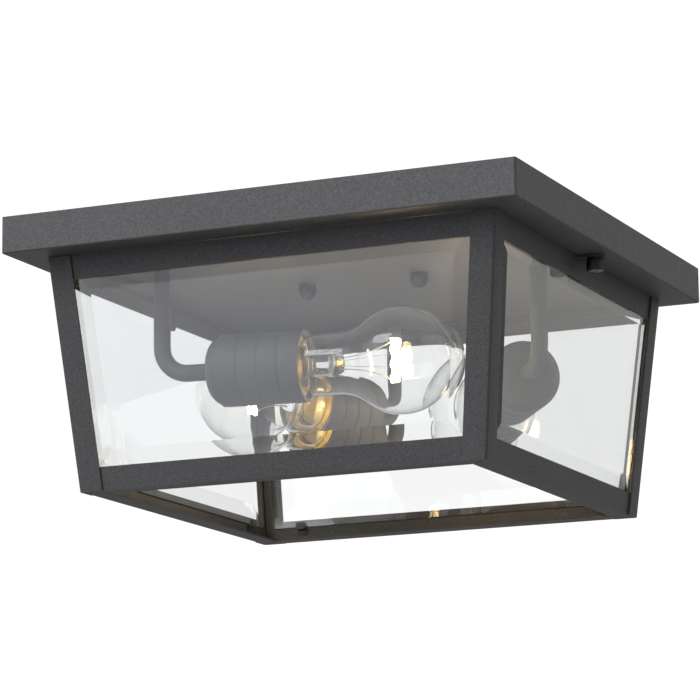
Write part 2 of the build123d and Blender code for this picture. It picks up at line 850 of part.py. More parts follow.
# Terminal block on the pan floor: three lead entries and two free entries for the supply
block_top = pan_floor + block_height
entry_end = block_length / 2 - entry_depth
back_entry = block_width / 2 - block_offset
with BuildPart() as terminal_block:
    with BuildSketch(Plane.XY.offset(pan_floor)):
        with Locations((0, -block_offset)):
            Rectangle(block_length, block_width)
    extrude(amount=block_height)
    chamfer(terminal_block.faces().sort_by(Axis.Z)[-1].edges(), block_edge)
    for outwards in (1, -1):
        face = Plane((outwards * block_length / 2, -block_offset, lead_z), z_dir=(outwards, 0, 0))
        with BuildSketch(face):
            Circle(lead_radius + fit)
        extrude(amount=-entry_depth, mode=Mode.SUBTRACT)
    with BuildSketch(Plane((0, back_entry, lead_z), z_dir=(0, 1, 0))):
        Circle(lead_radius + fit)
    extrude(amount=-entry_depth, mode=Mode.SUBTRACT)
    with BuildSketch(Plane((0, -block_offset - block_width / 2, lead_z), x_dir=(1, 0, 0), z_dir=(0, -1, 0))):
        with Locations((-supply_spacing / 2, 0), (supply_spacing / 2, 0)):
            Circle(lead_radius + fit)
    extrude(amount=-entry_depth, mode=Mode.SUBTRACT)
    screw_x = block_length / 2 - screw_inset
    screw_spots = [(-screw_x, -block_offset), (screw_x, -block_offset), (0, back_entry - screw_inset)]
    with BuildSketch(Plane.XY.offset(block_top)):
        with Locations(*screw_spots):
            Circle(screw_radius + fit)
    extrude(amount=-screw_depth, mode=Mode.SUBTRACT)
save(terminal_block, "terminal_block")

with BuildPart() as terminal_screws:
    with BuildSketch(Plane.XY.offset(block_top - screw_depth)):
        with Locations(*screw_spots):
            Circle(screw_radius)
    extrude(amount=screw_depth)
    with BuildSketch(Plane.XY.offset(block_top)):
        with Locations(*screw_spots):
            Rectangle(2 * screw_radius, ground_slot)
    extrude(amount=-screw_depth / 2, mode=Mode.SUBTRACT)
save(terminal_screws, "terminal_screws")

# Leads: from the back of each socket through its arm, then over the pan floor to the terminal block
routes = {
    "front": [(-55, -block_offset), (-entry_end - fit, -block_offset)],
    "right": [(57, -block_offset), (entry_end + fit, -block_offset)],
    "back": [(-20, 62), (0, 22), (0, back_entry - entry_depth + fit)],
}
for lamp, floor_points in routes.items():
    x, y = arm_spot(lamp)
    points = [lamp_point(lamp, insulator_back + lead_seat - fit), (x, y, lamp_z), (x, y, lead_z)]
    points += [(px, py, lead_z) for px, py in floor_points]
    bends = [arm_bend, lead_bend] + [lead_floor_radius] * (len(floor_points) - 1)
    with BuildPart() as lead:
        with BuildLine() as route:
            FilletPolyline(*points, radius=bends)
        with BuildSketch(Plane(route.line @ 0, z_dir=route.line % 0)):
            Circle(lead_radius)
        sweep()
    print(lamp, "lead length", round(route.wire().length, 1), "mm, bends", bends)
    save(lead, f"lamp_lead_{lamp}")
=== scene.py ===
import json

import bmesh
import bpy
import numpy as np
from mathutils import Matrix, Vector


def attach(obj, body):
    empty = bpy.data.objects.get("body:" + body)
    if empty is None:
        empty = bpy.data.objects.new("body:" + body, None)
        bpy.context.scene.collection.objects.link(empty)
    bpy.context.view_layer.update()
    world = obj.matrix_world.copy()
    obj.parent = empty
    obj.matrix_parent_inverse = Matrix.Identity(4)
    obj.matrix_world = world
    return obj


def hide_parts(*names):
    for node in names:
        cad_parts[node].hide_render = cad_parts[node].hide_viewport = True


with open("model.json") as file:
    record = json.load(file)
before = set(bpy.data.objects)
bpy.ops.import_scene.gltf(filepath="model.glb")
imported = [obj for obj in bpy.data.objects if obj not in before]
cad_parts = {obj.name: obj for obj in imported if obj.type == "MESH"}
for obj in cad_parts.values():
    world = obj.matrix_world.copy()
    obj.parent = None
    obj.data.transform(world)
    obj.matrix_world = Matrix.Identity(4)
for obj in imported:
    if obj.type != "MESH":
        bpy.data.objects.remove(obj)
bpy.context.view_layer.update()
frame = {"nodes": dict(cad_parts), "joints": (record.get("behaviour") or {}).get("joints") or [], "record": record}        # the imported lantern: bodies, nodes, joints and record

mm = 0.001
nodes = frame["nodes"]
joints = {joint["name"]: joint for joint in frame["joints"]}
lamps = ("front", "right", "back")
upwards = np.array([0.0, 0.0, 1.0])


# Shader helpers

# A node with its settings; an input that is given a socket is linked, any other value is filled in
def addNode(tree, kind, settings=None, inputs=None):
    node = tree.nodes.new(kind)
    for name, value in (settings or {}).items():
        setattr(node, name, value)
    for name, value in (inputs or {}).items():
        if isinstance(value, bpy.types.NodeSocket):
            tree.links.new(value, node.inputs[name])
        else:
            node.inputs[name].default_value = value
    return node


# An empty node group with named sockets
def newGroup(name, inputs, outputs):
    tree = bpy.data.node_groups.new(name, "ShaderNodeTree")
    for label, (kind, value) in inputs.items():
        socket = tree.interface.new_socket(label, in_out="INPUT", socket_type=kind)
        if value is not None:
            socket.default_value = value
    for label, kind in outputs.items():
        tree.interface.new_socket(label, in_out="OUTPUT", socket_type=kind)
    return tree, addNode(tree, "NodeGroupInput").outputs, addNode(tree, "NodeGroupOutput").inputs


# Stretches a value from one range to another
def spread(tree, value, low, high, toLow, toHigh):
    inputs = {"Value": value, "From Min": low, "From Max": high, "To Min": toLow, "To Max": toHigh}
    return addNode(tree, "ShaderNodeMapRange", {}, inputs).outputs["Result"]


def combine(tree, operation, first, second):
    return addNode(tree, "ShaderNodeMath", {"operation": operation}, {0: first, 1: second}).outputs[0]


def vectorMath(tree, operation, *values):
    node = addNode(tree, "ShaderNodeVectorMath", {"operation": operation}, dict(enumerate(values)))
    return node.outputs["Value" if operation == "DOT_PRODUCT" else "Vector"]


def brighten(tree, color, factor):
    inputs = {0: color, "Scale": factor}
    return addNode(tree, "ShaderNodeVectorMath", {"operation": "SCALE"}, inputs).outputs["Vector"]


noiseBand = (0.3, 0.7)   # most of a noise's values lie between these


def noise(tree, vector, scale, detail, more=None):
    inputs = {"Vector": vector, "Scale": scale, "Detail": detail, **(more or {})}
    return addNode(tree, "ShaderNodeTexNoise", {}, inputs).outputs["Fac"]


# Sandy paint: fine noise lightens and darkens each grain, broad noise clouds the whole coat
grains = {"detail": 2.0, "rough": 0.6, "cloudScale": 14.0, "cloudDetail": 3.0, "sheenBand": (0.25, 0.75),
          "sheen": (0.62, 0.48)}


def makeGrainGroup():
    tree, given, result = newGroup(
        "sandGrain",
        {"Vector": ("NodeSocketVector", None), "Paint": ("NodeSocketColor", None),
         "Grain Scale": ("NodeSocketFloat", 1100.0), "Contrast": ("NodeSocketFloat", 0.2),
         "Clouds": ("NodeSocketFloat", 0.05)},
        {"Color": "NodeSocketColor", "Roughness": "NodeSocketFloat", "Height": "NodeSocketFloat"},
    )
    sandy = {"Roughness": grains["rough"]}
    fine = noise(tree, given["Vector"], given["Grain Scale"], grains["detail"], sandy)
    broad = noise(tree, given["Vector"], grains["cloudScale"], grains["cloudDetail"])
    swing = combine(tree, "MULTIPLY", spread(tree, fine, *noiseBand, -1.0, 1.0), given["Contrast"])
    cloud = combine(tree, "MULTIPLY", spread(tree, broad, *noiseBand, -1.0, 1.0), given["Clouds"])
    factor = combine(tree, "MULTIPLY", combine(tree, "ADD", swing, 1.0), combine(tree, "ADD", cloud, 1.0))
    tree.links.new(brighten(tree, given["Paint"], factor), result["Color"])
    tree.links.new(spread(tree, fine, *grains["sheenBand"], *grains["sheen"]), result["Roughness"])
    tree.links.new(fine, result["Height"])
    return tree


# Edge mask: the rounded normal of the Bevel node leaves the flat normal only close to an edge
edges = {"samples": 4, "match": (0.995, 0.8)}


def makeEdgeGroup():
    tree, given, result = newGroup(
        "thinEdge",
        {"Width": ("NodeSocketFloat", 0.0006), "Amount": ("NodeSocketFloat", 0.5)},
        {"Mask": "NodeSocketFloat"},
    )
    flat = addNode(tree, "ShaderNodeNewGeometry").outputs["Normal"]
    eased = addNode(tree, "ShaderNodeBevel", {"samples": edges["samples"]}, {"Radius": given["Width"]})
    match = vectorMath(tree, "DOT_PRODUCT", flat, eased.outputs["Normal"])
    mask = spread(tree, match, *edges["match"], 0.0, 1.0)
    tree.links.new(combine(tree, "MULTIPLY", mask, given["Amount"]), result["Mask"])
    return tree


# Dust: lies on faces that look up, broken into patches by noise
dustFall = {"slope": (0.3, 1.0), "scale": 110.0, "detail": 6.0, "rough": 0.65, "patches": (0.4, 0.7),
            "thinnest": 0.2, "tone": (0.32, 0.30, 0.27, 1)}


def makeDustGroup():
    tree, given, result = newGroup(
        "settledDust",
        {"Vector": ("NodeSocketVector", None), "Amount": ("NodeSocketFloat", 0.3)},
        {"Mask": "NodeSocketFloat"},
    )
    facing = addNode(tree, "ShaderNodeNewGeometry").outputs["Normal"]
    height = addNode(tree, "ShaderNodeSeparateXYZ", {}, {0: facing}).outputs["Z"]
    cloudy = {"Roughness": dustFall["rough"]}
    patches = noise(tree, given["Vector"], dustFall["scale"], dustFall["detail"], cloudy)
    broken = spread(tree, patches, *dustFall["patches"], dustFall["thinnest"], 1.0)
    mask = combine(tree, "MULTIPLY", spread(tree, height, *dustFall["slope"], 0.0, 1.0), broken)
    tree.links.new(combine(tree, "MULTIPLY", mask, given["Amount"]), result["Mask"])
    return tree


# Worked metal: noise drawn out along one direction gives fine lines, broad noise a slight tarnish
metals = {"lineDetail": 2.0, "lineTint": (0.92, 1.06), "lineRough": (-0.05, 0.08), "tarnishScale": 90.0,
          "tarnishDetail": 3.0, "tarnishTint": (0.88, 1.08), "tarnishBand": (0.35, 0.65),
          "tarnishRough": (-0.03, 0.06)}


def makeMetalGroup():
    tree, given, result = newGroup(
        "workedMetal",
        {"Vector": ("NodeSocketVector", None), "Metal": ("NodeSocketColor", None),
         "Stretch": ("NodeSocketVector", (400.0, 400.0, 4000.0)), "Smooth": ("NodeSocketFloat", 0.2)},
        {"Color": "NodeSocketColor", "Roughness": "NodeSocketFloat", "Height": "NodeSocketFloat"},
    )
    drawn = vectorMath(tree, "MULTIPLY", given["Vector"], given["Stretch"])
    lines = noise(tree, drawn, 1.0, metals["lineDetail"])
    broad = noise(tree, given["Vector"], metals["tarnishScale"], metals["tarnishDetail"])
    lineTint = spread(tree, lines, *noiseBand, *metals["lineTint"])
    tint = combine(tree, "MULTIPLY", lineTint, spread(tree, broad, *noiseBand, *metals["tarnishTint"]))
    tree.links.new(brighten(tree, given["Metal"], tint), result["Color"])
    rough = combine(tree, "ADD", given["Smooth"], spread(tree, lines, *noiseBand, *metals["lineRough"]))
    rough = combine(tree, "ADD", rough, spread(tree, broad, *metals["tarnishBand"], *metals["tarnishRough"]))
    tree.links.new(rough, result["Roughness"])
    tree.links.new(lines, result["Height"])
    return tree


# Handled glass: faint wiped smears raise the roughness in streaks
smears = {"stretch": (30.0, 30.0, 9.0), "detail": 4.0, "swirl": 0.6, "band": (0.5, 0.75)}


def makeSmearGroup():
    tree, given, result = newGroup(
        "wipedGlass",
        {"Vector": ("NodeSocketVector", None), "Clean": ("NodeSocketFloat", 0.0),
         "Smeared": ("NodeSocketFloat", 0.05)},
        {"Roughness": "NodeSocketFloat"},
    )
    drawn = vectorMath(tree, "MULTIPLY", given["Vector"], smears["stretch"])
    streaks = noise(tree, drawn, 1.0, smears["detail"], {"Distortion": smears["swirl"]})
    rough = spread(tree, streaks, *smears["band"], given["Clean"], given["Smeared"])
    tree.links.new(rough, result["Roughness"])
    return tree


sandGrain = makeGrainGroup()
thinEdge = makeEdgeGroup()
settledDust = makeDustGroup()
workedMetal = makeMetalGroup()
wipedGlass = makeSmearGroup()


# A material with one Principled shader, whose constant inputs are set on its own sockets
def newMaterial(name, constants):
    material = bpy.data.materials.new(name)
    material.use_nodes = True
    tree = material.node_tree
    shader = tree.nodes["Principled BSDF"]
    for label, value in constants.items():
        shader.inputs[label].default_value = value
    place = addNode(tree, "ShaderNodeTexCoord").outputs["Object"]
    return material, tree, shader, place


def useGroup(tree, group, inputs):
    return addNode(tree, "ShaderNodeGroup", {"node_tree": group}, inputs).outputs


def mixColors(tree, factor, first, second):
    mix = addNode(tree, "ShaderNodeMix", {"data_type": "RGBA"}, {0: factor, 6: first, 7: second})
    return mix.outputs[2]


# Lays dust over a colour
def dusted(tree, place, amount, color):
    mask = useGroup(tree, settledDust, {"Vector": place, "Amount": amount})["Mask"]
    return mixColors(tree, mask, color, dustFall["tone"])


def addBump(tree, shader, height, strength, distance):
    inputs = {"Height": height, "Strength": strength, "Distance": distance}
    tree.links.new(addNode(tree, "ShaderNodeBump", {}, inputs).outputs["Normal"], shader.inputs["Normal"])


# Powder coat: sandy grain, a paler line along the edges that is partly rubbed wear and partly a painted edge
# highlight, a little dust on top
def powderCoat(name, look):
    material, tree, shader, place = newMaterial(name, {"Specular IOR Level": look["gloss"]})
    grain = useGroup(tree, sandGrain, {
        "Vector": place, "Paint": (*look["paint"], 1),
        "Grain Scale": look["grain"], "Contrast": look["contrast"]})
    edge = useGroup(tree, thinEdge, {"Width": look["edgeWidth"], "Amount": look["edge"]})["Mask"]
    # painted edge highlight: the paler edge colour stands partly for rubbed wear and partly for light catching
    # the edges
    color = mixColors(tree, edge, grain["Color"], (*look["rubbedAndHighlight"], 1))
    tree.links.new(dusted(tree, place, look["dust"], color), shader.inputs["Base Color"])
    tree.links.new(grain["Roughness"], shader.inputs["Roughness"])
    addBump(tree, shader, grain["Height"], look["bump"], look["bumpDepth"])
    return material


# Plated or pressed metal
def platedMetal(name, look):
    material, tree, shader, place = newMaterial(name, {"Metallic": 1.0})
    metal = useGroup(tree, workedMetal, {
        "Vector": place, "Metal": (*look["metal"], 1), "Stretch": look["stretch"], "Smooth": look["rough"]})
    tree.links.new(dusted(tree, place, look["dust"], metal["Color"]), shader.inputs["Base Color"])
    tree.links.new(metal["Roughness"], shader.inputs["Roughness"])
    addBump(tree, shader, metal["Height"], look["bump"], look["bumpDepth"])
    return material


# Clear glass that lets light straight through to what it encloses
def clearGlass(name, look):
    material, tree, shader, place = newMaterial(name, {
        "Base Color": (*look["tint"], 1), "Transmission Weight": 1.0, "IOR": look["bend"], "Metallic": 0.0})
    smear = useGroup(tree, wipedGlass, {"Vector": place, "Clean": look["clean"], "Smeared": look["smeared"]})
    tree.links.new(smear["Roughness"], shader.inputs["Roughness"])
    shadow = addNode(tree, "ShaderNodeLightPath").outputs["Is Shadow Ray"]
    clear = addNode(tree, "ShaderNodeBsdfTransparent", {}, {"Color": (*look["shadow"], 1)}).outputs["BSDF"]
    mix = addNode(tree, "ShaderNodeMixShader", {}, {0: shadow, 1: shader.outputs["BSDF"], 2: clear})
    tree.links.new(mix.outputs["Shader"], tree.nodes["Material Output"].inputs["Surface"])
    return material


# Fired or moulded insulator: a clouded tone under an even gloss
def mouldedShell(name, look):
    material, tree, shader, place = newMaterial(name, {
        "Coat Weight": look["glaze"], "Coat Roughness": look["glazeRough"]})
    grain = useGroup(tree, sandGrain, {
        "Vector": place, "Paint": (*look["tone"], 1),
        "Grain Scale": look["grain"], "Contrast": look["contrast"]})
    tree.links.new(dusted(tree, place, look["dust"], grain["Color"]), shader.inputs["Base Color"])
    tree.links.new(grain["Roughness"], shader.inputs["Roughness"])
    addBump(tree, shader, grain["Height"], look["bump"], look["bumpDepth"])
    return material


# Glowing wire: noise along the wire makes the heat uneven
def glowingWire(name, look):
    constants = {"Emission Strength": look["strength"], "Metallic": 0.0}
    material, tree, shader, place = newMaterial(name, constants)
    metal = useGroup(tree, workedMetal, {
        "Vector": place, "Metal": (*look["heat"], 1), "Stretch": look["stretch"], "Smooth": look["rough"]})
    tree.links.new(metal["Color"], shader.inputs["Emission Color"])
    tree.links.new(metal["Roughness"], shader.inputs["Roughness"])
    tree.links.new(metal["Color"], shader.inputs["Base Color"])
    return material


# the rubbed edge tones below are partly rubbed wear and partly a painted edge highlight
panPaint = {"paint": (0.057, 0.058, 0.061), "rubbedAndHighlight": (0.11, 0.11, 0.115), "grain": 1150.0, "contrast": 0.36,
            "gloss": 0.50, "edgeWidth": 0.0008, "edge": 0.4, "dust": 0.10, "bump": 0.15, "bumpDepth": 0.0003}
cagePaint = {**panPaint, "gloss": 0.35, "paint": (0.051, 0.051, 0.054), "rubbedAndHighlight": (0.065, 0.065, 0.068)}
lampPaint = {**panPaint, "gloss": 0.35, "paint": (0.080, 0.080, 0.084), "contrast": 0.12, "bump": 0.08,
             "edge": 0.3}
zincSteel = {"metal": (0.62, 0.61, 0.58), "stretch": (300.0, 300.0, 3000.0), "rough": 0.32, "bump": 0.2,
             "bumpDepth": 0.0001, "dust": 0.3}
blackNickel = {**zincSteel, "metal": (0.06, 0.06, 0.063), "stretch": (500.0, 500.0, 3000.0), "rough": 0.26,
               "bump": 0.15, "dust": 0.1}
pressedBrass = {**zincSteel, "metal": (0.95, 0.85, 0.43), "stretch": (500.0, 500.0, 2500.0), "rough": 0.36,
                "dust": 0.05}
rolledBrass = {**pressedBrass, "metal": (0.93, 0.82, 0.42), "rough": 0.32}
greenScrew = {**lampPaint, "paint": (0.05, 0.26, 0.09), "rubbedAndHighlight": (0.35, 0.42, 0.33)}
creamGlaze = {"tone": (0.86, 0.79, 0.60), "glaze": 0.6, "glazeRough": 0.08, "grain": 500.0, "contrast": 0.06,
              "bump": 0.05, "bumpDepth": 0.0002, "dust": 0.1}
terminalPlastic = {**creamGlaze, "tone": (0.78, 0.77, 0.72), "glaze": 0.0, "grain": 900.0}
leadSheath = {**creamGlaze, "tone": (0.045, 0.045, 0.047), "glaze": 0.0, "grain": 1500.0, "contrast": 0.2,
              "bump": 0.2}
paneGlass = {"tint": (0.935, 0.947, 0.941), "bend": 1.5, "clean": 0.0, "smeared": 0.004,
             "shadow": (0.88, 0.89, 0.885)}
bulbGlass = {"tint": (0.985, 0.985, 0.98), "bend": 1.45, "clean": 0.0, "smeared": 0.004,
             "shadow": (0.95, 0.95, 0.95)}
glowHeat = {"heat": (1.0, 0.77, 0.45), "strength": 64.0, "stretch": (300.0, 300.0, 300.0), "rough": 0.5}

finishes = {
    "pan_paint": powderCoat("panPowderCoat", panPaint),
    "cage_paint": powderCoat("cagePowderCoat", cagePaint),
    "lamp_paint": powderCoat("lampSatinPaint", lampPaint),
    "zinc_steel": platedMetal("zincPlate", zincSteel),
    "black_nickel": platedMetal("blackNickelPlate", blackNickel),
    "green_screw": powderCoat("greenDip", greenScrew),
    "brass": platedMetal("pressedBrass", pressedBrass),
    "base_metal": platedMetal("rolledBrass", rolledBrass),
    "porcelain": mouldedShell("creamGlaze", creamGlaze),
    "terminal_plastic": mouldedShell("terminalPlastic", terminalPlastic),
    "lead_sheath": mouldedShell("leadSheath", leadSheath),
    "pane_glass": clearGlass("bevelledGlass", paneGlass),
    "bulb_glass": clearGlass("bulbGlass", bulbGlass),
    "filament": glowingWire("glowingCoil", glowHeat),
}
print("finishes:", len(finishes))


# Shape helpers

# Rounds the corners of an outline: a parabola weighted by the sine of half the corner angle is an exact arc.
# A round takes at most the given share of each side
def filleted(corners, reach, steps=5, closed=True, share=0.45):
    corners = np.asarray(corners, float)
    before = np.roll(corners, 1, 0) - corners
    after = np.roll(corners, -1, 0) - corners
    lengthBefore = np.linalg.norm(before, axis=1, keepdims=True)
    lengthAfter = np.linalg.norm(after, axis=1, keepdims=True)
    room = share * np.minimum(lengthBefore, lengthAfter)
    reach = np.minimum(np.reshape(reach, (-1, 1)), room)
    first = (corners + before / lengthBefore * reach)[:, None]
    last = (corners + after / lengthAfter * reach)[:, None]
    turn = (before * after).sum(1, keepdims=True) / (lengthBefore * lengthAfter)
    u = np.linspace(0, 1, steps)[None, :, None]
    parts = (1 - u) ** 2, 2 * u * (1 - u) * np.sqrt((1 - turn) / 2)[:, None], u**2
    rounded = (parts[0] * first + parts[1] * corners[:, None] + parts[2] * last) / sum(parts)
    if closed:
        return rounded.reshape(-1, 2)
    return np.vstack([corners[:1], rounded[1:-1].reshape(-1, 2), corners[-1:]])


# Points on a circle between two angles
def arc(centre, radius, start, end, steps):
    angle = np.linspace(start, end, steps)
    return np.stack([centre[0] + radius * np.cos(angle), centre[1] + radius * np.sin(angle)], -1)


# A chord that bows to the left of its direction by rise, as a parabola
def bowed(start, end, rise, steps):
    start, end = np.array(start, float), np.array(end, float)
    u = np.linspace(0, 1, steps)[:, None]
    chord = (end - start) / np.linalg.norm(end - start)
    return start + (end - start) * u + np.array([-chord[1], chord[0]]) * rise * 4 * u * (1 - u)


def around(columns):
    return np.linspace(0, 2 * np.pi, columns, endpoint=False)


# Turned surface: stations along an axis and a radius for each, or for each angle, carried once round
def turned(place, stations, radii, columns):
    start, along, up, aside = place
    turn = around(columns)
    ring = np.cos(turn)[:, None] * up + np.sin(turn)[:, None] * aside
    radii = np.asarray(radii, float)
    radii = radii[:, None] if radii.ndim == 1 else radii
    return start + np.asarray(stations)[:, None, None] * mm * along + radii[..., None] * mm * ring


# Round wire: a circle carried along a path, square to the path's direction
def wire(path, radius, columns, reference):
    forward = np.gradient(path, axis=0)
    side = np.cross(forward, reference)
    side /= np.linalg.norm(side, axis=1, keepdims=True)
    lift = np.cross(side, forward)
    lift /= np.linalg.norm(lift, axis=1, keepdims=True)
    turn = around(columns)[None, :, None]
    return path[:, None] + radius * (np.cos(turn) * side[:, None] + np.sin(turn) * lift[:, None])


# Faces of a grid of points: columns wrap, rows wrap too, end in flat caps, or run to poles
def gridFaces(grid, ends):
    rows, columns = grid.shape[:2]
    row = np.arange(rows if ends == "wrap" else rows - 1)[:, None]
    column = np.arange(columns)[None]
    nextRow, nextColumn = (row + 1) % rows, (column + 1) % columns
    here, after = row * columns, nextRow * columns
    cells = [here + column, here + nextColumn, after + nextColumn, after + column]
    faces = np.stack(cells, -1).reshape(-1, 4).tolist()
    if ends == "cap":
        faces += [list(range(columns))[::-1], list(range((rows - 1) * columns, rows * columns))]
    return faces


meshing = {"merge": 1e-7, "slim": 1e-8}   # points and edges closer than this become one, in metres


# One mesh from closed grids, each with its kind of ends and the number of its finish
def addPiece(name, grids, body, replaced, coats, crease=38):
    points, faces, coatNumbers = [], [], []
    for grid, ends, coat in grids:
        begin = sum(len(part) for part in points)
        own = [[begin + corner for corner in face] for face in gridFaces(grid, ends)]
        points.append(grid.reshape(-1, 3))
        faces += own
        coatNumbers += [coat] * len(own)
    mesh = bpy.data.meshes.new(name)
    mesh.from_pydata(np.vstack(points).tolist(), [], faces)
    mesh.polygons.foreach_set("material_index", np.array(coatNumbers, np.int32))
    edit = bmesh.new()
    edit.from_mesh(mesh)
    bmesh.ops.remove_doubles(edit, verts=edit.verts, dist=meshing["merge"])
    bmesh.ops.dissolve_degenerate(edit, edges=edit.edges, dist=meshing["slim"])
    bmesh.ops.recalc_face_normals(edit, faces=edit.faces)
    edit.to_mesh(mesh)
    edit.free()
    mesh.shade_smooth()
    mesh.set_sharp_from_angle(angle=np.radians(crease))
    for coat in coats:
        mesh.materials.append(coat)
    piece = bpy.data.objects.new(name, mesh)
    bpy.context.scene.collection.objects.link(piece)
    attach(piece, body)
    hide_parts(*replaced)


# Where each lamp lies, from its bulb's screw axis: the foot of the arm's upright, the heading, up and aside
eyeletStation = 57.7


def lampPlace(lamp):
    screw = joints[f"{lamp}_bulb_turn"]
    heading = np.array(screw["axis"], float)
    start = np.array(screw["pos_m"], float) - heading * eyeletStation * mm
    return start, heading, upwards, np.cross(heading, upwards)


places = {lamp: lampPlace(lamp) for lamp in lamps}

# Lamp arms: tubes with a quarter bend and a thread at each end
arm = {"radius": 4.75, "bore": 3.75, "thread": 4.4, "bend": 15.0, "shoulder": 64.2, "top": 68.9,
       "socket": 28.1, "end": 33.7, "steps": 25, "columns": 40}


# Path of the tube in the lamp's upright plane: down, round a quarter circle, along; the bore comes back
def armGrid(place):
    start, along, up, aside = place
    quarter = np.linspace(0, np.pi / 2, arm["steps"])
    forward = np.concatenate([np.zeros(3), quarter, np.full(3, np.pi / 2)])
    bendX, bendY = arm["bend"] * (1 - np.cos(quarter)), arm["bend"] * (1 - np.sin(quarter))
    x = np.concatenate([np.zeros(3), bendX, [arm["socket"]] * 2, [arm["end"]]])
    y = np.concatenate([[arm["top"]], [arm["shoulder"]] * 2, bendY, np.zeros(3)])
    outer = np.full(len(x), arm["radius"])
    outer[[0, 1, -2, -1]] = arm["thread"]
    bore = np.full(len(x), arm["bore"])
    there = np.stack([x, y], -1)
    path = np.concatenate([there, there[::-1]])
    angle = np.concatenate([forward, forward[::-1]])
    radius = np.concatenate([outer, bore[::-1]])
    centre = start + path[:, :1] * mm * along + path[:, 1:] * mm * up
    lift = np.cos(angle)[:, None] * along + np.sin(angle)[:, None] * up
    turn = around(arm["columns"])[None, :, None]
    ring = np.cos(turn) * lift[:, None] + np.sin(turn) * aside
    return centre[:, None] + radius[:, None, None] * mm * ring


# Socket cups: domed back, small step, three ring grooves, open mouth
cup = {"back": 28.1, "mouth": 83.8, "radius": 20.2, "wall": 1.9, "hole": 4.45, "flat": 8.5, "dome": 5.0,
       "rise": 1.5, "domeSteps": 7, "shoulder": 7.0, "step": 1.9, "stepRun": 0.5, "grooves": (20.4, 32.3, 44.1),
       "grooveWidth": 1.0, "grooveDepth": 0.4, "ease": 0.22, "easeSteps": 4, "columns": 80}


def cupOutline():
    back, mouth, radius, wall = cup["back"], cup["mouth"], cup["radius"], cup["wall"]
    dome, inside = radius - cup["step"], back + wall
    edge, deep, steps = cup["grooveWidth"] / 2, cup["grooveDepth"], cup["domeSteps"]
    shape = np.array([[-edge, 0.0], [-edge, -deep], [edge, -deep], [edge, 0.0]])
    grooves = [shape + [back + groove, radius] for groove in cup["grooves"]]
    return filleted(np.vstack([
        [[back, cup["hole"]]],
        bowed((back, cup["flat"]), (back + cup["dome"], dome), cup["rise"], steps),
        [[back + cup["shoulder"], dome], [back + cup["shoulder"] + cup["stepRun"], radius]],
        *grooves,
        [[mouth, radius], [mouth, radius - wall], [inside + cup["shoulder"] + cup["stepRun"], radius - wall]],
        [[inside + cup["shoulder"], dome - wall]],
        bowed((back + cup["dome"], dome - wall), (inside, cup["flat"]), -cup["rise"], steps),
        [[inside, cup["hole"]]],
    ]), cup["ease"], steps=cup["easeSteps"])


cupShape = cupOutline()
for lamp in lamps:
    addPiece(f"lampArm_{lamp}", [(armGrid(places[lamp]), "wrap", 0)], "root",
             [f"lamp_arm_{lamp}"], [finishes["lamp_paint"]])
    grid = turned(places[lamp], *cupShape.T, cup["columns"])
    addPiece(f"socketCup_{lamp}", [(grid, "wrap", 0)], "root",
             [f"socket_cup_{lamp}"], [finishes["lamp_paint"]])
print("arms and cups done")

# Insulators: the cream ring set back in each mouth, with a floor behind the shell
insulator = {"back": 37.65, "face": 79.8, "radius": 18.15, "bore": 14.05, "flare": 3.6, "flareRun": 4.5,
             "floor": 56.15, "leadEnd": 41.65, "leadBore": 2.25, "ease": 0.25, "columns": 64}
insulatorShape = filleted([
    (insulator["leadEnd"], 0), (insulator["leadEnd"], insulator["leadBore"]),
    (insulator["back"], insulator["leadBore"]), (insulator["back"], insulator["radius"]),
    (insulator["face"], insulator["radius"]), (insulator["face"], insulator["bore"] + insulator["flare"]),
    (insulator["face"] - insulator["flareRun"], insulator["bore"]), (insulator["floor"], insulator["bore"]),
    (insulator["floor"], 0),
], insulator["ease"], closed=False)
grids = [(turned(places[lamp], *insulatorShape.T, insulator["columns"]), "pole", 0) for lamp in lamps]
addPiece("socketInsulators", grids, "root", ["socket_insulators"], [finishes["porcelain"]])

# Screw shells: thin sheet with a rolled thread and a flared rim
shell = {"floor": 56.2, "face": 79.8, "inner": 13.5, "sheet": 0.5, "flare": 3.6, "flareRun": 4.5,
         "floorRadius": 9.0, "pitch": 3.629, "roll": 0.2, "rows": 72, "columns": 72}


# Wall radius: the sheet is pressed in by a raised cosine that climbs one pitch a turn
def shellGrid(place):
    flareStart = shell["face"] - shell["flareRun"]
    inside = shell["floor"] + shell["sheet"]
    s = np.linspace(inside, flareStart, shell["rows"])
    turns = s[:, None] / shell["pitch"] - around(shell["columns"])[None] / (2 * np.pi)
    fade = np.clip(np.minimum(s - s[0], s[-1] - s) / shell["pitch"], 0, 1)[:, None]
    inner = shell["inner"] - shell["roll"] * (0.5 - 0.5 * np.cos(2 * np.pi * turns)) * fade
    plain = np.ones((1, shell["columns"]))
    rim = shell["inner"] + shell["flare"]
    stations = np.concatenate([[inside], s, [shell["face"]] * 2, s[::-1], [shell["floor"]] * 2])
    radii = np.vstack([plain * shell["floorRadius"], inner, plain * rim, plain * (rim + shell["sheet"]),
                       inner[::-1] + shell["sheet"], plain * (shell["inner"] + shell["sheet"]),
                       plain * shell["floorRadius"]])
    return turned(place, stations, radii, shell["columns"])


addPiece("screwShells", [(shellGrid(places[lamp]), "wrap", 0) for lamp in lamps], "root",
         ["screw_shells"], [finishes["brass"]])

# Bulb bases: rolled thread, sloping floor
base = {"floor": 60.0, "floorRadius": 8.5, "hole": 3.3, "thread": 63.0, "turns": 4, "pitch": 3.629,
        "root": 12.5, "crest": 13.2, "end": 81.2, "wall": 0.4, "rows": 81, "columns": 80}


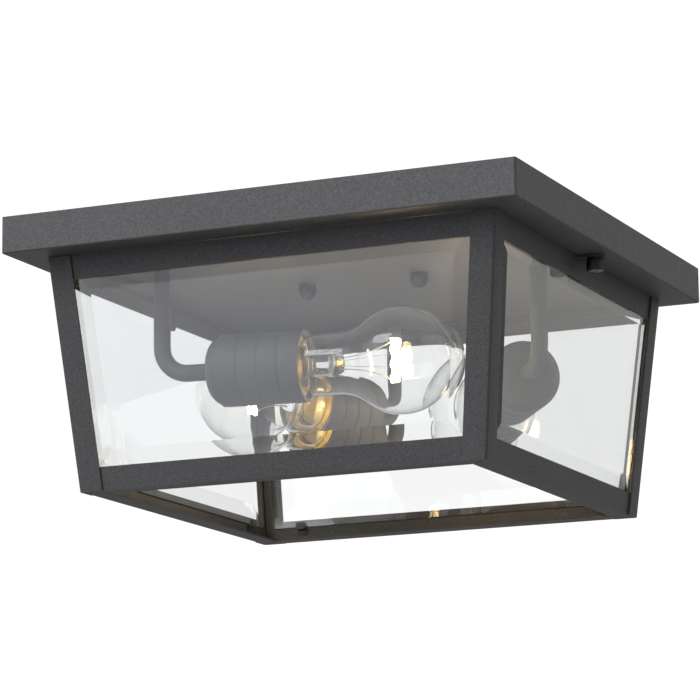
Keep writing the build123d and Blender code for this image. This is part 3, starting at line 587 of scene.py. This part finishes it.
# Thread height: a raised cosine along the axis that climbs one pitch a turn and fades out over half a pitch
def baseGrid(place):
    length = base["turns"] * base["pitch"]
    s = base["thread"] + np.linspace(0, length, base["rows"])
    turns = (s - base["thread"])[:, None] / base["pitch"] - around(base["columns"])[None] / (2 * np.pi)
    fade = np.clip(np.minimum(s - s[0], s[-1] - s) / (base["pitch"] / 2), 0, 1)[:, None]
    thread = base["root"] + (base["crest"] - base["root"]) * (0.5 - 0.5 * np.cos(2 * np.pi * turns)) * fade
    plain = np.ones((1, base["columns"]))
    inner = base["root"] - base["wall"]
    lower = base["floor"] + base["wall"]
    stations = np.concatenate([[base["floor"]] * 2, s, [base["end"]] * 2,
                               [base["thread"] + base["wall"], lower, lower]])
    radii = np.vstack([plain * base["hole"], plain * base["floorRadius"], thread, plain * base["root"],
                       plain * inner, plain * inner, plain * (base["floorRadius"] - base["wall"]),
                       plain * base["hole"]])
    return turned(place, stations, radii, base["columns"])


# Bulb glass: sealed end, round shoulder, straight neck, hollow flare and a ball, with a thin wall
bulb = {"seal": 77.2, "end": 81.2, "sealRadius": 12.05, "shoulder": 8.0, "neck": 17.0, "flare": 28.0,
        "radius": 30.07, "bulge": 137.63, "wall": 0.8, "shoulderSteps": 14, "flareSteps": 22, "ballSteps": 48,
        "columns": 112}


def bulbOutline(inset):
    hub = bulb["neck"] - bulb["shoulder"]
    neckStart = bulb["end"] + np.sqrt(bulb["shoulder"] ** 2 - (bulb["sealRadius"] - hub) ** 2)
    apart = bulb["radius"] + bulb["flare"]
    lift = bulb["neck"] + bulb["flare"]
    neckEnd = bulb["bulge"] - np.sqrt(apart**2 - lift**2)
    seal = bulb["sealRadius"] - inset
    shoulder = bulb["shoulder"] - inset
    slope = np.arctan2(lift, bulb["bulge"] - neckEnd)
    low = np.pi - np.arcsin((seal - hub) / shoulder)
    return np.vstack([
        [[bulb["seal"], seal]],
        arc((neckStart, hub), shoulder, low, np.pi / 2, bulb["shoulderSteps"]),
        arc((neckEnd, lift), bulb["flare"] + inset, -np.pi / 2, -slope, bulb["flareSteps"]),
        arc((bulb["bulge"], 0), bulb["radius"] - inset, np.pi - slope, 0, bulb["ballSteps"])[1:],
    ])


bulbShape = np.vstack([bulbOutline(0)[::-1], bulbOutline(bulb["wall"])])
bulbShape[[0, -1], 1] = 0

# Stems: a hollow foot that narrows in a half cosine, a tube, and an end pressed flat round the wires
stem = {"foot": 77.25, "footRadius": 11.2, "rim": 1.2, "flare": 7.0, "radius": 6.5, "wall": 0.8, "tip": 105.2,
        "tipRadius": 4.0, "press": 8.0, "hollow": 2.0, "flatten": 0.5, "steps": 12, "columns": 48}


# The outline starts in the hollow, under the press, runs back to the foot, round its rim and out to the tip
def stemGrid(place):
    start, along, up, aside = place
    u = np.linspace(0, 1, stem["steps"])
    dome = np.sqrt(1 - u**2)
    narrowing = stem["radius"] + (stem["footRadius"] - stem["radius"]) * (0.5 + 0.5 * np.cos(np.pi * u))
    closing = stem["tipRadius"] + (stem["radius"] - stem["tipRadius"]) * dome
    pressStart = stem["tip"] - stem["press"]
    neck = stem["foot"] + stem["rim"] + stem["flare"] * u
    inner = np.concatenate([[stem["foot"]], neck, pressStart + stem["hollow"] * u])
    innerRadius = np.concatenate([[stem["footRadius"]], narrowing, stem["radius"] * dome]) - stem["wall"]
    innerRadius[-1] = 0
    s = np.concatenate([inner[::-1], [stem["foot"]], neck, pressStart + stem["press"] * u, [stem["tip"]]])
    r = np.concatenate([np.maximum(innerRadius, 0)[::-1], [stem["footRadius"]], narrowing, closing, [0]])
    flat = 1 - stem["flatten"] * np.clip((s - pressStart) / stem["press"], 0, 1)
    turn = around(stem["columns"])[None, :, None]
    ring = np.cos(turn) * up + np.sin(turn) * flat[:, None, None] * aside
    return start + s[:, None, None] * mm * along + r[:, None, None] * mm * ring


# Filaments: two wires that lean apart, two thin supports, and a coil across the ball that swings to and fro
filament = {"foot": 102.0, "spread": 3.0, "lean": 121.0, "leanSpread": 3.6, "glow": 134.03, "half": 12.0,
            "wire": 0.32, "wireSteps": 25, "wireColumns": 10, "supportFoot": 1.2, "supportLean": 2.8,
            "supportBow": 0.9, "supportWire": 0.16, "bow": 0.4, "sway": 0.6, "waves": 1.5, "coil": 2.4,
            "coilTurns": 15, "turnSteps": 14, "coilWire": 0.5, "columns": 8}


# Points of a parabola between two values, pulled towards a third
def pulled(first, towards, last, u):
    return (1 - u) ** 2 * first + 2 * u * (1 - u) * towards + u**2 * last


def filamentGrids(place):
    start, along, up, aside = place
    u = np.linspace(0, 1, filament["wireSteps"])[:, None]
    supportEnd = filament["glow"] + filament["bow"] * filament["supportBow"]
    grids = []
    for sign in (1, -1):
        s = pulled(filament["foot"], filament["lean"], filament["glow"], u)
        h = pulled(filament["spread"], filament["leanSpread"], filament["half"], u)
        path = start + s * mm * along + sign * h * mm * up
        grids.append((wire(path, filament["wire"] * mm, filament["wireColumns"], aside), "cap", 1))
        s = filament["foot"] + (supportEnd - filament["foot"]) * u
        h = filament["supportFoot"] + filament["supportLean"] * u
        path = start + s * mm * along + sign * h * mm * up
        grids.append((wire(path, filament["supportWire"] * mm, filament["columns"], aside), "cap", 1))
    v = np.linspace(-1, 1, filament["coilTurns"] * filament["turnSteps"])[:, None]
    turn = v * np.pi * filament["coilTurns"]
    swing = filament["sway"] * np.sin(2 * np.pi * filament["waves"] * v)
    s = filament["glow"] + filament["bow"] * (1 - v**2) + swing + filament["coil"] * np.cos(turn)
    across = v * filament["half"] * up + filament["coil"] * np.sin(turn) * aside
    path = start + s * mm * along + across * mm
    grids.append((wire(path, filament["coilWire"] * mm, filament["columns"], up), "cap", 0))
    return grids


# Eyelets: rounded head and a shank into the base
eyelet = {"tip": eyeletStation, "dome": 1.4, "domeSteps": 9, "radius": 4.8, "head": 2.0, "shankRadius": 3.0,
          "shank": 4.0, "columns": 40}
headEnd, shankEnd = eyelet["tip"] + eyelet["head"], eyelet["tip"] + eyelet["shank"]
eyeletShape = np.vstack([
    bowed((eyelet["tip"], 0), (eyelet["tip"] + eyelet["dome"], eyelet["radius"]), eyelet["dome"] / 2,
          eyelet["domeSteps"]),
    [[headEnd, eyelet["radius"]], [headEnd, eyelet["shankRadius"]], [shankEnd, eyelet["shankRadius"]],
     [shankEnd, 0]],
])

for lamp in lamps:
    place, body = places[lamp], f"{lamp}_bulb"
    addPiece(f"bulbBase_{lamp}", [(baseGrid(place), "wrap", 0)], body,
             [f"bulb_base_{lamp}"], [finishes["base_metal"]])
    grid = turned(place, *bulbShape.T, bulb["columns"])
    addPiece(f"bulbGlass_{lamp}", [(grid, "pole", 0)], body,
             [f"bulb_glass_{lamp}"], [finishes["bulb_glass"]])
    addPiece(f"bulbStem_{lamp}", [(stemGrid(place), "pole", 0)], body,
             [f"bulb_stem_{lamp}"], [finishes["bulb_glass"]])
    addPiece(f"bulbFilament_{lamp}", filamentGrids(place), body,
             [f"bulb_filament_{lamp}"], [finishes["filament"], finishes["zinc_steel"]])
    grid = turned(place, *eyeletShape.T, eyelet["columns"])
    addPiece(f"bulbEyelet_{lamp}", [(grid, "pole", 0)], f"{lamp}_eyelet",
             [f"bulb_eyelet_{lamp}"], [finishes["brass"]])
print("sockets and bulbs done")

# Corner posts: an angle with a rounded fold, carried down the slope of the cage
post = {"leg": 14.1, "sheet": 1.2, "bend": 1.5, "top": -21.3, "height": 131.0, "half": 133.8, "draw": 13.4,
        "edge": 0.25, "foldSteps": 9, "rows": 9}
postCorners = {"front_left": (-1, -1), "front_right": (1, -1), "back_right": (1, 1), "back_left": (-1, 1)}
legs = [(0, 0), (post["leg"], 0), (post["leg"], post["sheet"]), (post["sheet"], post["sheet"]),
        (post["sheet"], post["leg"]), (0, post["leg"])]
folds = [post["bend"], post["edge"], post["edge"], post["bend"] - post["sheet"], post["edge"], post["edge"]]
postShape = filleted(legs, folds, steps=post["foldSteps"])
for name, (sideX, sideY) in postCorners.items():
    down = np.linspace(0, 1, post["rows"])[:, None]
    half = post["half"] - post["draw"] * down
    x = (half - postShape[None, :, 0]) * sideX
    y = (half - postShape[None, :, 1]) * sideY
    z = post["top"] - post["height"] * down + np.zeros_like(x)
    addPiece(f"cornerPost_{name}", [(np.stack([x, y, z], -1) * mm, "cap", 0)], "cage",
             [f"corner_post_{name}"], [finishes["cage_paint"]], crease=30)

# Cap nuts under the pan: a plain barrel with a domed end
cap = {"spacing": 70.0, "face": -21.0, "radius": 5.15, "side": 5.4, "height": 9.2, "rise": 0.9, "bore": 2.13,
       "boreDepth": 6.0, "domeSteps": 16, "columns": 56}
hanging = (-upwards, np.array([1.0, 0, 0]), np.array([0, -1.0, 0]))   # way down, and the two directions across
capShape = np.vstack([
    [[cap["boreDepth"], 0], [cap["boreDepth"], cap["bore"]], [0, cap["bore"]], [0, cap["radius"]]],
    bowed((cap["side"], cap["radius"]), (cap["height"], 0), cap["rise"], cap["domeSteps"]),
])
capPlaces = [(np.array([x, 0, cap["face"]]) * mm, *hanging) for x in (-cap["spacing"] / 2, cap["spacing"] / 2)]
grids = [(turned(place, *capShape.T, cap["columns"]), "pole", 0) for place in capPlaces]
addPiece("capNuts", grids, "root", ["cap_nuts"], [finishes["black_nickel"]])

# Thumb nuts: straight knurl between two chamfers, blind bore
thumb = {"x": 141.0, "top": -23.4, "height": 6.7, "radius": 5.0, "chamfer": 0.6, "bore": 2.05,
         "boreDepth": 5.3, "knurls": 30, "knurl": 0.3, "columns": 240}
thumbEdge, thumbFace = thumb["height"] - thumb["chamfer"], thumb["radius"] - thumb["chamfer"]
thumbStations = np.array([thumb["boreDepth"]] * 2 + [0, 0, thumb["chamfer"], thumbEdge] + [thumb["height"]] * 2)
thumbRadii = np.array([0, thumb["bore"], thumb["bore"], thumbFace] + [thumb["radius"]] * 2 + [thumbFace, 0])
knurled = (thumbRadii == thumb["radius"])[:, None]
groove = np.cos(around(thumb["columns"]) * thumb["knurls"] / 2)[None] ** 2   # one groove for each knurl
thumbRadii = thumbRadii[:, None] - knurled * groove * thumb["knurl"]
washer = {"top": -22.55, "thick": 0.8, "radius": 4.5, "hole": 2.3, "ease": 0.2, "columns": 48}
washerShape = filleted([(0, washer["hole"]), (0, washer["radius"]), (washer["thick"], washer["radius"]),
                        (washer["thick"], washer["hole"])], washer["ease"])
for side, sign in (("left", -1), ("right", 1)):
    place = (np.array([sign * thumb["x"], 0, thumb["top"]]) * mm, *hanging)
    grid = turned(place, thumbStations, thumbRadii, thumb["columns"])
    addPiece(f"thumbNut_{side}", [(grid, "pole", 0)], f"{side}_nut",
             [f"thumb_nut_{side}"], [finishes["black_nickel"]], crease=30)
    place = (np.array([sign * thumb["x"], 0, washer["top"]]) * mm, *hanging)
    grid = turned(place, *washerShape.T, washer["columns"])
    addPiece(f"thumbWasher_{side}", [(grid, "wrap", 0)], "cage",
             [f"thumb_washer_{side}"], [finishes["black_nickel"]])
print("posts and nuts done")

# Every solid that still shows takes the finish of its slot
for subpart in frame["record"]["subparts"]:
    solid = nodes[subpart["node"]]
    if not solid.hide_render:
        solid.data.materials.clear()
        solid.data.materials.append(finishes[subpart["material_slot"]])

# Camera at the photograph's angle: a turn round the lantern, a small shift of its place, no lens shift
view = {"azimuth": 23.615, "elevation": -11.094, "roll": -0.726, "distance": 2008.6, "right": -7.79,
        "up": -61.14, "focal": 3484.0, "pixels": 700, "sensor": 36.0, "far": 100.0}
azimuth, elevation, roll = (np.radians(view[key]) for key in ("azimuth", "elevation", "roll"))
flat = np.cos(elevation)
back = np.array([np.sin(azimuth) * flat, -np.cos(azimuth) * flat, np.sin(elevation)])
level = np.array([np.cos(azimuth), np.sin(azimuth), 0.0])
rise = np.cross(back, level)
sideways = np.cos(roll) * level + np.sin(roll) * rise
upright = np.cos(roll) * rise - np.sin(roll) * level
eye = (back * view["distance"] + sideways * view["right"] + upright * view["up"]) * mm
cameraTurn = Matrix(np.stack([sideways, upright, back], -1)).to_4x4()
camera = bpy.data.objects.new("camera", bpy.data.cameras.new("camera"))
camera.data.sensor_width = view["sensor"]
camera.data.lens = view["focal"] / view["pixels"] * view["sensor"]
camera.data.clip_end = view["far"]
camera.matrix_world = Matrix.Translation(Vector(eye)) @ cameraTurn
bpy.context.scene.collection.objects.link(camera)
bpy.context.scene.camera = camera

# Studio: pale floor, white room that dims to the right, a bright card at the front left that the panes mirror,
# and a soft lamp high up on the same side
studio = {"floorDrop": 2.4, "floorHalf": 80.0, "floorTone": 0.34, "floorRough": 0.8, "floorGrain": 200.0,
          "floorContrast": 0.02, "floorClouds": 0.01, "room": 1.0, "zenith": 1.3, "rightSide": 0.50,
          "dimBand": (-0.05, 0.45), "card": 0.90, "cardTint": (0.94, 0.97, 1.07), "cardTurn": 36.0,
          "cardEdge": (0.92, 0.985), "cardTop": (0.3, 0.6), "key": 60.0, "keySize": 2.0,
          "keySpot": (-1.0, -2.2, 2.2)}
bpy.context.scene.view_settings.view_transform = "Standard"
world = bpy.data.worlds.new("studioRoom")
world.use_nodes = True
tree = world.node_tree
outlook = addNode(tree, "ShaderNodeTexCoord").outputs["Generated"]
facing = addNode(tree, "ShaderNodeSeparateXYZ", {}, {0: outlook}).outputs
overhead = spread(tree, facing["Z"], 0.0, 1.0, studio["room"], studio["zenith"])
dimming = spread(tree, facing["X"], *studio["dimBand"], 1.0, studio["rightSide"])
bearing = vectorMath(tree, "NORMALIZE", vectorMath(tree, "MULTIPLY", outlook, (1, 1, 0)))
cardTurn = np.radians(studio["cardTurn"])   # from straight ahead towards the left
towards = vectorMath(tree, "DOT_PRODUCT", bearing, (-np.sin(cardTurn), -np.cos(cardTurn), 0.0))
card = spread(tree, towards, *studio["cardEdge"], 0.0, 1.0)
card = combine(tree, "MULTIPLY", card, spread(tree, facing["Z"], *studio["cardTop"], 1.0, 0.0))
bright = combine(tree, "MULTIPLY", card, studio["card"])
strength = combine(tree, "ADD", combine(tree, "MULTIPLY", overhead, dimming), bright)
tint = mixColors(tree, card, (1, 1, 1, 1), (*studio["cardTint"], 1))
tree.links.new(strength, tree.nodes["Background"].inputs["Strength"])
tree.links.new(tint, tree.nodes["Background"].inputs["Color"])
bpy.context.scene.world = world

half = studio["floorHalf"]
floorMesh = bpy.data.meshes.new("studioFloor")
corners = [(-half, -half), (half, -half), (half, half), (-half, half)]
floorMesh.from_pydata([(x, y, -studio["floorDrop"]) for x, y in corners], [], [(0, 1, 2, 3)])
floor = bpy.data.objects.new("studioFloor", floorMesh)
bpy.context.scene.collection.objects.link(floor)
floorCoat, tree, shader, place = newMaterial("paleFloor", {"Roughness": studio["floorRough"]})
tone = studio["floorTone"]
pale = useGroup(tree, sandGrain, {
    "Vector": place, "Paint": (tone, tone, tone, 1), "Grain Scale": studio["floorGrain"],
    "Contrast": studio["floorContrast"], "Clouds": studio["floorClouds"]})
tree.links.new(pale["Color"], shader.inputs["Base Color"])
floorMesh.materials.append(floorCoat)

key = bpy.data.objects.new("keyLight", bpy.data.lights.new("keyLight", "AREA"))
key.data.energy = studio["key"]
key.data.size = studio["keySize"]
key.location = studio["keySpot"]
key.rotation_euler = (-Vector(studio["keySpot"])).to_track_quat("-Z", "Y").to_euler()
bpy.context.scene.collection.objects.link(key)
print("camera and studio done")
